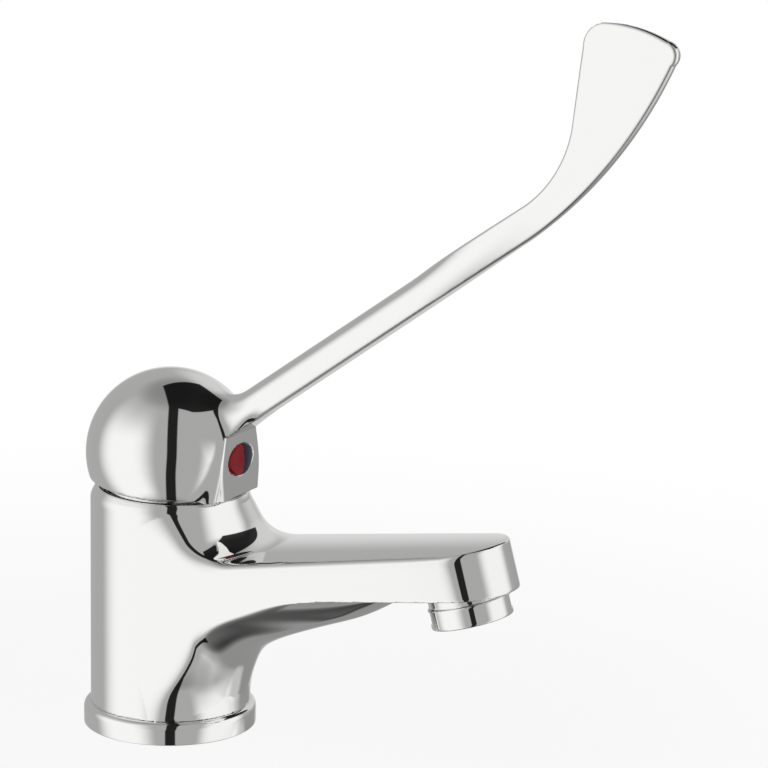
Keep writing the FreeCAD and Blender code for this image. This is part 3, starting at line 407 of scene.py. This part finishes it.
def gradient(field, p, e):
    """Value and slope of a field, from four points around each point."""
    ways = np.array([(1, -1, -1), (-1, -1, 1), (-1, 1, -1), (1, 1, 1)], float)
    f = [field(p + w * e) for w in ways]
    return sum(f) / 4, sum(np.outer(v, w) for v, w in zip(f, ways)) / (4 * e)


def surface_nets(v, origin, step):
    """One vertex in each cell that the surface crosses, one quad around each crossed edge."""
    nx, ny, nz = v.shape
    count = np.zeros((nx - 1, ny - 1, nz - 1), np.int8)
    pos = np.zeros((nx - 1, ny - 1, nz - 1, 3), np.float32)

    def corner(c):
        return v[c[0]:nx - 1 + c[0], c[1]:ny - 1 + c[1], c[2]:nz - 1 + c[2]]

    for a in [(i, j, k) for i in (0, 1) for j in (0, 1) for k in (0, 1)]:
        for axis in range(3):
            if a[axis]:
                continue
            b = list(a)
            b[axis] = 1
            va, vb = corner(a), corner(b)
            at = np.nonzero((va < 0) != (vb < 0))
            t = va[at] / (va[at] - vb[at])
            for k in range(3):
                pos[at + (k,)] += a[k] + (t if k == axis else 0)
            count[at] += 1
    has = count > 0
    index = np.full(count.shape, -1)
    index[has] = np.arange(has.sum())
    verts = origin + step * (np.argwhere(has) + pos[has] / count[has][:, None])
    inside = v < 0
    quads = []
    for axis in range(3):
        o1, o2 = (axis + 1) % 3, (axis + 2) % 3
        a = np.take(inside, range(0, v.shape[axis] - 1), axis)
        b = np.take(inside, range(1, v.shape[axis]), axis)
        at = np.argwhere(a != b)
        for o in (o1, o2):
            at = at[(at[:, o] > 0) & (at[:, o] < v.shape[o] - 1)]
        start = a[tuple(at.T)]
        e1, e2 = np.eye(3, dtype=int)[o1], np.eye(3, dtype=int)[o2]
        quad = np.stack([index[tuple(r.T)] for r in (at - e1 - e2, at - e2, at, at - e1)], 1)
        quad[~start] = quad[~start][:, ::-1]
        quads.append(quad)
    return verts, np.concatenate(quads)


def add_object(name, data):
    """Object in the scene from its mesh or camera."""
    obj = bpy.data.objects.new(name, data)
    bpy.context.scene.collection.objects.link(obj)
    return obj


def mesh_object(name, verts, faces, normals=None):
    """Smooth mesh from points in millimetres, with its own normals where they are given."""
    mesh = bpy.data.meshes.new(name)
    faces = np.asarray(faces)
    mesh.vertices.add(len(verts))
    mesh.vertices.foreach_set("co", (np.asarray(verts) * MM).astype(np.float32).ravel())
    mesh.loops.add(faces.size)
    mesh.loops.foreach_set("vertex_index", faces.astype(np.int32).ravel())
    mesh.polygons.add(len(faces))
    mesh.polygons.foreach_set("loop_start", np.arange(0, faces.size, faces.shape[1], dtype=np.int32))
    mesh.polygons.foreach_set("use_smooth", [True] * len(faces))
    mesh.update(calc_edges=True)
    mesh.validate()
    if normals is not None:
        mesh.normals_split_custom_set_from_vertices(normals.tolist())
    return add_object(name, mesh)


def field_object(name, field, low, high, step):
    """Mesh of the zero surface of a field, with its true normals."""
    axes = [np.arange(a - 2 * step, b + 3 * step, step) for a, b in zip(low, high)]
    verts, faces = surface_nets(sample(field, axes, step), np.array([a[0] for a in axes]), step)
    for _ in range(PULLS):
        f, g = gradient(field, verts, PROBE)
        verts = verts - (f / np.maximum((g * g).sum(1), LEAST_SLOPE))[:, None] * g
    normals = gradient(field, verts, NORMAL_PROBE)[1]
    return mesh_object(name, verts, faces, normals / np.linalg.norm(normals, axis=1)[:, None])


def lathe(name, profile, seg=160):
    """Ring turned about Z from a closed (radius, height) outline."""
    pts = np.array(profile, float)
    n = len(pts)
    t = np.arange(seg) * 2 * math.pi / seg
    verts = np.stack([np.outer(np.cos(t), pts[:, 0]), np.outer(np.sin(t), pts[:, 0]),
                      np.outer(np.ones(seg), pts[:, 1])], -1).reshape(-1, 3)
    faces = [(i * n + j, ((i + 1) % seg) * n + j, ((i + 1) % seg) * n + (j + 1) % n, i * n + (j + 1) % n)
             for i in range(seg) for j in range(n)]
    return mesh_object(name, verts, faces)


def rounded(points, r, steps=4, share=0.45):
    """Closed outline with its corners rounded by up to r, and by up to this share of a side."""
    pts = [np.array(p, float) for p in points]
    out = []
    for i, b in enumerate(pts):
        a, c = pts[i - 1], pts[(i + 1) % len(pts)]
        u, w = a - b, c - b
        lu, lw = np.linalg.norm(u), np.linalg.norm(w)
        k = min(r, share * lu, share * lw)
        p, q = b + u / lu * k, b + w / lw * k
        for s in range(steps + 1):
            t = s / steps
            out.append((1 - t) ** 2 * p + 2 * t * (1 - t) * b + t * t * q)
    return out


# Materials.
GRAIN_DETAIL, GRAIN_DEPTH, LEAST_ROUGH = 6, 0.0002, 0.01


def material(name, color, metallic, rough, scale, bump=0.0, shine=0.5, noise=0.0):
    """Plain colour with a fine grain in its roughness or its relief."""
    mat = bpy.data.materials.new(name)
    mat.use_nodes = True
    tree = mat.node_tree
    shader = tree.nodes["Principled BSDF"]
    shader.inputs["Base Color"].default_value = (*color, 1)
    shader.inputs["Metallic"].default_value = metallic
    shader.inputs["Roughness"].default_value = rough
    shader.inputs["Specular IOR Level"].default_value = shine
    coords = tree.nodes.new("ShaderNodeTexCoord")
    grain = tree.nodes.new("ShaderNodeTexNoise")
    grain.inputs["Scale"].default_value = scale
    grain.inputs["Detail"].default_value = GRAIN_DETAIL
    tree.links.new(coords.outputs["Object"], grain.inputs["Vector"])
    if noise:
        spread = tree.nodes.new("ShaderNodeMapRange")
        spread.inputs["To Min"].default_value = max(rough - noise, LEAST_ROUGH)
        spread.inputs["To Max"].default_value = rough + noise
        tree.links.new(grain.outputs["Fac"], spread.inputs["Value"])
        tree.links.new(spread.outputs["Result"], shader.inputs["Roughness"])
    if bump:
        relief = tree.nodes.new("ShaderNodeBump")
        relief.inputs["Strength"].default_value = bump
        relief.inputs["Distance"].default_value = GRAIN_DEPTH
        tree.links.new(grain.outputs["Fac"], relief.inputs["Height"])
        tree.links.new(relief.outputs["Normal"], shader.inputs["Normal"])
    return mat


# Colour, metallic, roughness and scale of the grain of each finish, and what else it has.
FINISHES = {
    "chrome_plate": ((0.86, 0.865, 0.85), 1.0, 0.03, 60, dict(noise=0.008)),
    "bare_brass": ((0.78, 0.60, 0.30), 1.0, 0.25, 900, dict(bump=0.2, noise=0.06)),
    "steel": ((0.60, 0.60, 0.61), 1.0, 0.22, 1500, dict(bump=0.15, noise=0.05)),
    "black_rubber": ((0.02, 0.02, 0.021), 0.0, 0.6, 1800, dict(bump=0.35)),
    "white_plastic": ((0.82, 0.82, 0.80), 0.0, 0.38, 1200, dict(bump=0.12)),
    "grey_plastic": ((0.27, 0.28, 0.30), 0.0, 0.45, 1400, dict(bump=0.2)),
    "ceramic": ((0.90, 0.90, 0.87), 0.0, 0.12, 500, dict(noise=0.04)),
    "red_plastic": ((0.36, 0.0, 0.008), 0.0, 0.16, 300, dict(shine=0.2, noise=0.02)),
    "blue_plastic": ((0.004, 0.006, 0.035), 0.0, 0.16, 300, dict(shine=0.2, noise=0.02)),
}
MATERIALS = {name: material(name, *values, **more) for name, (*values, more) in FINISHES.items()}
BODY_OF = {node: body for body, nodes in frame["record"]["behaviour"]["bodies"].items() for node in nodes}
SLOT_OF = {part["node"]: part["material_slot"] for part in frame["record"]["subparts"]}


def paint(obj, node):
    """Give an object the material of its node's slot."""
    obj.data.materials.clear()
    obj.data.materials.append(MATERIALS[SLOT_OF[node]])


def stand_for(obj, node):
    """Let a visual piece take the place of a solid, on its body and in its slot."""
    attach(obj, BODY_OF[node])
    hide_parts(node)
    paint(obj, node)


# Pieces in view. Each skin from a field has the box that it fills and the step of its grid.
for name, node, field, low, high, step in (
        ("casting_skin", "body_casting", casting, (-24, -24, 0.4), (112, 24, 74), FINE),
        ("handle_skin", "lever_handle", handle, (-25, -25, 69), (157, 25, 219), FINE),
        ("aerator_skin", "aerator_shell", aerator_shell, (84, -12, 42), (110.5, 12, 61), FINE * 0.7),
        ("plug_skin_red", "index_plug_red", plug_half(-1), (21.5, -7.5, 78), (25.5, 0, 88), FINE * 0.4),
        ("plug_skin_blue", "index_plug_blue", plug_half(1), (21.5, 0, 78), (25.5, 7.5, 88), FINE * 0.4)):
    stand_for(field_object(name, field, low, high, step), node)
for name, node, profile, edge in (
        ("base_ring_skin", "base_ring", BASE_RING, 0.35),
        ("base_seal_skin", "base_seal", BASE_SEAL, 0.4),
        ("cover_skin", "cover_ring", COVER, 0.3)):
    stand_for(lathe(name, rounded(profile, edge)), node)
for node, obj in frame["nodes"].items():
    paint(obj, node)

# Camera of the photograph.
bearing, distance, height = math.radians(30), 1038.97, 340.32
yaw, pitch, roll = math.radians(3.422), math.radians(12.861), math.radians(0.91)
focal, photo_px, sensor = 3654.07, 768, 36
upright = Vector((0, 0, 1))
eye = Vector((distance * math.sin(bearing), -distance * math.cos(bearing), height)) * MM
inward = Vector((-math.sin(bearing), math.cos(bearing), 0))
sideways = Vector((math.cos(bearing), math.sin(bearing), 0))
look = (inward * math.cos(yaw) + sideways * math.sin(yaw)) * math.cos(pitch) - upright * math.sin(pitch)
right = look.cross(upright).normalized()
up = right.cross(look)
rolled_right = right * math.cos(roll) + up * math.sin(roll)
rolled_up = up * math.cos(roll) - right * math.sin(roll)
lens = bpy.data.cameras.new("photo_camera")
lens.sensor_width = sensor
lens.lens = focal / photo_px * sensor
lens.clip_start, lens.clip_end = 0.01, 20
camera = add_object("photo_camera", lens)
rows = [(*row, at) for row, at in zip(zip(rolled_right, rolled_up, -look), eye)]
camera.matrix_world = Matrix(rows + [(0, 0, 0, 1)])
bpy.context.scene.camera = camera
bpy.context.scene.view_settings.view_transform = "Standard"


class Nodes:
    """Short ways to fill the node tree of a world or a material."""

    def __init__(self, owner):
        owner.use_nodes = True
        self.tree = owner.node_tree
        self.tree.nodes.clear()

    def new(self, kind, **props):
        """New node with these settings."""
        made = self.tree.nodes.new(kind)
        for key, value in props.items():
            setattr(made, key, value)
        return made

    def put(self, term, slot):
        """Fill a socket with a number, or with what another node gives."""
        if isinstance(term, bpy.types.NodeSocket):
            self.tree.links.new(term, slot)
        else:
            slot.default_value = term

    def calc(self, op, *terms):
        """Result of a math node on numbers or on what other nodes give."""
        made = self.new("ShaderNodeMath", operation=op)
        for slot, term in zip(made.inputs, terms):
            self.put(term, slot)
        return made.outputs[0]

    def step_up(self, value, low, high, top=1.0):
        """Soft step from 0 to top while the value goes from low to high."""
        made = self.new("ShaderNodeMapRange", interpolation_type="SMOOTHSTEP")
        for key, term in (("Value", value), ("From Min", low), ("From Max", high), ("To Max", top)):
            self.put(term, made.inputs[key])
        return made.outputs[0]

    def mix(self, share, first, second):
        """Mix of two shaders, the second by this share."""
        made = self.new("ShaderNodeMixShader")
        for slot, term in zip(made.inputs, (share, first.outputs[0], second.outputs[0])):
            self.put(term, slot)
        return made


# Studio, fixed in space: two soft panels with a dark gap between them, and a white backdrop. Its
# directions are given as shares to the right, up and back, as the photograph looks at the tap, or as a
# bearing and an elevation in degrees from straight back.
AMBIENT, LEAST_LEVEL = 0.44, 0.0001
# Upright panels: bearing, edge and core, ends below, ends above, brightness.
PANELS = [(-66, (0.64, 0.98), (-0.97, -0.2), (-0.97, -0.78), 0.62),
          (80, (0.78, 0.97), (-0.74, -0.5), (-0.95, -0.45), 0.58)]
# Round patches of light or shade: bearing, elevation, edge, core, brightness.
PATCHES = [(178, 4, 0.92, 0.995, 0.3), (150, 32, 0.86, 0.98, 0.25), (118, -26, 0.95, 0.985, 0.3),
           (150, -40, 0.5, 0.95, -0.14), (0, -90, 0.88, 0.99, -0.3), (0, 90, 0.8, 0.99, -0.17)]
# Gap: its sides as shares of a mirrored ball's radius, how it drifts downward, and how dark it is.
GAP_LEFT, GAP_RIGHT, GAP_SOFT, GAP_DARK = 0.016, 0.1, 0.015, 0.96
GAP_DRIFT, GAP_DRIFT_END = 0.014, 0.6
# Planes that end it or widen it: at the left, in front, and for the dark ceiling above.
GAP_LEFT_WALL, GAP_NEAR = (1, 0.118, -0.169), (0.737, 0.308, 1)
GAP_TOP, GAP_TOP_LEFT = (0, 0.54, -1), (-1, 1.5, 0)

world = bpy.data.worlds.new("studio")
bpy.context.scene.world = world
sky = Nodes(world)
direction = sky.new("ShaderNodeTexCoord").outputs["Generated"]


def along(x, y, z):
    """How far a direction points right, up and back, in these shares."""
    made = sky.new("ShaderNodeVectorMath", operation="DOT_PRODUCT")
    sky.put(direction, made.inputs[0])
    sky.put(right * x + up * y - look * z, made.inputs[1])
    return made.outputs["Value"]


def toward(azimuth, elevation):
    """Cosine of the angle between a direction and this bearing and elevation."""
    a, e = math.radians(azimuth), math.radians(elevation)
    return along(math.sin(a) * math.cos(e), math.sin(e), math.cos(a) * math.cos(e))


def beyond(way):
    """Soft half of all directions, on this way's side of its plane."""
    return sky.step_up(along(*way), -GAP_SOFT, GAP_SOFT)


above, below = along(0, 1, 0), along(0, -1, 0)
level_part = sky.calc("SQRT", sky.calc("MULTIPLY_ADD", above, below, 1 + LEAST_LEVEL))
glow = AMBIENT
for azimuth, across, down, upward, light in PANELS:
    facing = sky.calc("DIVIDE", toward(azimuth, 0), level_part)
    ends = sky.calc("MULTIPLY", sky.step_up(below, *down), sky.step_up(above, *upward))
    panel = sky.calc("MULTIPLY", sky.step_up(facing, *across), ends)
    glow = sky.calc("MULTIPLY_ADD", panel, light, glow)
for azimuth, elevation, edge, core, light in PATCHES:
    glow = sky.calc("ADD", glow, sky.step_up(toward(azimuth, elevation), edge, core, light))
reach = sky.calc("SQRT", sky.calc("MULTIPLY_ADD", along(0, 0, 1), 2, 2))
lower = sky.step_up(below, 0, GAP_DRIFT_END, GAP_DRIFT)
drift = sky.calc("MULTIPLY_ADD", lower, reach, along(1, 0, 0))
past_left = sky.step_up(sky.calc("MULTIPLY_ADD", reach, GAP_LEFT, drift), -GAP_SOFT, GAP_SOFT)
past_left = sky.calc("MAXIMUM", past_left, beyond(GAP_LEFT_WALL))
short_of_right = sky.calc("SUBTRACT", sky.calc("MULTIPLY", reach, GAP_RIGHT), drift)
ceiling = sky.calc("MINIMUM", beyond(GAP_TOP), beyond(GAP_TOP_LEFT))
before_right = sky.calc("MAXIMUM", sky.step_up(short_of_right, -GAP_SOFT, GAP_SOFT), ceiling)
gap = sky.calc("MULTIPLY", sky.calc("MULTIPLY", past_left, before_right), beyond(GAP_NEAR))
shade = sky.calc("MULTIPLY", glow, sky.calc("SUBTRACT", 1, sky.calc("MULTIPLY", gap, GAP_DARK)))
studio = sky.new("ShaderNodeBackground")
sky.put(shade, studio.inputs["Color"])
white = sky.new("ShaderNodeBackground")
sky.put((1, 1, 1, 1), white.inputs["Color"])
seen = sky.new("ShaderNodeLightPath").outputs["Is Camera Ray"]
both = sky.mix(seen, studio, white)
sky.put(both.outputs[0], sky.new("ShaderNodeOutputWorld").inputs["Surface"])

# Pale floor, in metres: white with a soft shadow to the camera, clear to mirrored rays.
FLOOR_R, FLOOR_TURN = 0.6, 3
FLOOR_COLOR, FLOOR_GLOW, FADE_FROM, FADE_TO = (0.9, 0.9, 0.9, 1), 0.9, 0.08, 0.4
turns = [math.radians(a) for a in range(0, 360, FLOOR_TURN)]
floor_mesh = bpy.data.meshes.new("floor")
floor_mesh.from_pydata([(FLOOR_R * math.cos(a), FLOOR_R * math.sin(a), 0) for a in turns], [],
                       [tuple(range(len(turns)))])
floor = add_object("floor", floor_mesh)
pale = bpy.data.materials.new("pale_floor")
ground = Nodes(pale)
matt = ground.new("ShaderNodeBsdfDiffuse")
ground.put(FLOOR_COLOR, matt.inputs["Color"])
place = ground.new("ShaderNodeNewGeometry")
spread = ground.new("ShaderNodeVectorMath", operation="LENGTH")
ground.put(place.outputs["Position"], spread.inputs[0])
fade = ground.step_up(spread.outputs["Value"], FADE_FROM, FADE_TO, 1 - FLOOR_GLOW)
rays = ground.new("ShaderNodeLightPath")
share = ground.calc("MULTIPLY", rays.outputs["Is Camera Ray"], ground.calc("ADD", fade, FLOOR_GLOW))
tone = ground.mix(share, matt, ground.new("ShaderNodeEmission"))
whole = ground.mix(rays.outputs["Is Glossy Ray"], tone, ground.new("ShaderNodeBsdfTransparent"))
ground.put(whole.outputs[0], ground.new("ShaderNodeOutputMaterial").inputs["Surface"])
floor_mesh.materials.append(pale)
